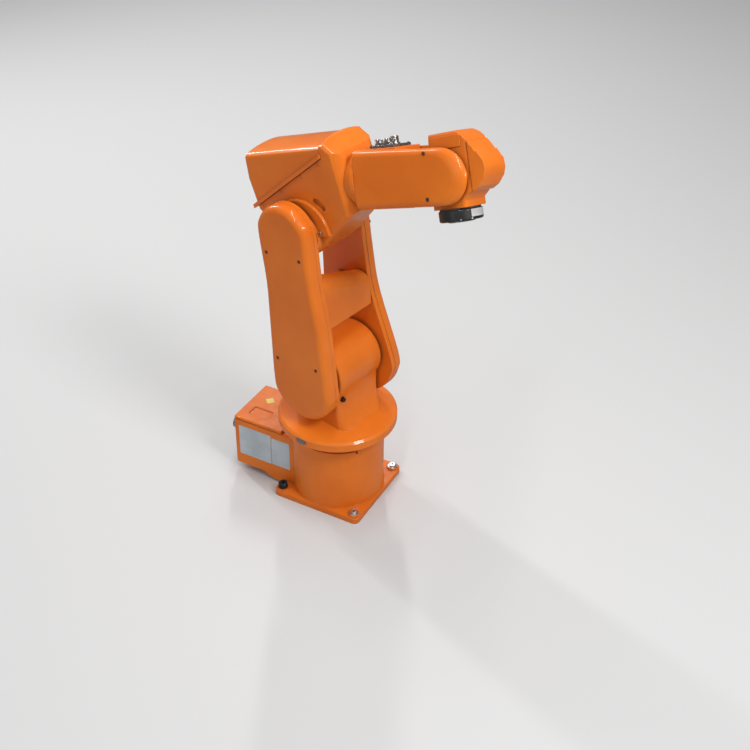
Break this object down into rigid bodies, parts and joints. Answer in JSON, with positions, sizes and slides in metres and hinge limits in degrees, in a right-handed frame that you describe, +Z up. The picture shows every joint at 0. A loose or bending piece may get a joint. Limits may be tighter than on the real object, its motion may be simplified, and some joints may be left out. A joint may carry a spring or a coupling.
{
  "type": "industrial robot arm",
  "caption": "Small orange six-axis table-top robot arm with a square foot, a rear connector housing, a forked forearm and a round tool flange.",
  "frame": {"origin": "on axis 1 at the underside of the foot", "axes": "+Z up along axis 1, +X the front of the foot (away from the connector housing), +Y its left"},
  "size_m": [0.5139, 0.2198, 0.8086],
  "materials": {
    "orange_paint": "glossy orange paint on cast aluminium",
    "dark_seal": "dull black",
    "panel_metal": "brushed",
    "black_plastic": "matte",
    "socket_steel": "satin",
    "union_metal": "satin",
    "flange_coating": "satin black coating"
  },
  "bodies": {
    "base": {"base_casting": "orange_paint", "bearing_ring": "dark_seal", "housing_lid": "orange_paint", "rear_panel": "panel_metal", "motor_socket": "black_plastic", "signal_socket": "socket_steel", "air_inlets": "union_metal"},
    "turntable": {"shoulder_casting": "orange_paint", "shoulder_stop": "socket_steel"},
    "lower_arm": {"right_arm_casting": "orange_paint", "left_arm_casting": "orange_paint", "right_arm_cover": "orange_paint", "left_arm_cover": "orange_paint", "arm_web": "orange_paint"},
    "elbow": {"elbow_casting": "orange_paint", "elbow_cover": "orange_paint"},
    "forearm": {"right_tine": "orange_paint", "left_tine": "orange_paint", "fork_root": "orange_paint", "connection_plate": "union_metal"},
    "wrist": {"wrist_housing": "orange_paint", "wrist_collar": "dark_seal", "wrist_cover": "orange_paint", "right_wrist_panel": "orange_paint", "left_wrist_panel": "orange_paint"},
    "tool_flange": {"flange_ring": "flange_coating", "flange_face": "socket_steel"}
  },
  "joints": [
    {"name": "axis_1", "type": "hinge", "parent": "base", "child": "turntable", "pos_m": [0, 0, 0.16], "axis": [0, 0, 1], "range_deg": [-154.5, 175.5]},
    {"name": "axis_2", "type": "hinge", "parent": "turntable", "child": "lower_arm", "pos_m": [0, 0, 0.29], "axis": [0.1822, 0.9833, 0], "range_deg": [-104.5, 115.5]},
    {"name": "axis_3", "type": "hinge", "parent": "lower_arm", "child": "elbow", "pos_m": [-0.02544, 0.00472, 0.55876], "axis": [-0.1822, -0.9833, 0], "range_deg": [-85, 95]},
    {"name": "axis_4", "type": "hinge", "parent": "elbow", "child": "forearm", "pos_m": [-0.04955, 0.00918, 0.62432], "axis": [0.921, -0.1707, 0.3502], "range_deg": [-146, 174]},
    {"name": "axis_5", "type": "hinge", "parent": "forearm", "child": "wrist", "pos_m": [0.22859, -0.04237, 0.73009], "axis": [0.2601, 0.9386, -0.2266], "range_deg": [-206.5, 33.5]},
    {"name": "axis_6", "type": "hinge", "parent": "wrist", "child": "tool_flange", "pos_m": [0.22859, -0.04237, 0.73009], "axis": [0.3457, -0.3097, -0.8858], "range_deg": [-400, 400]}
  ]
}
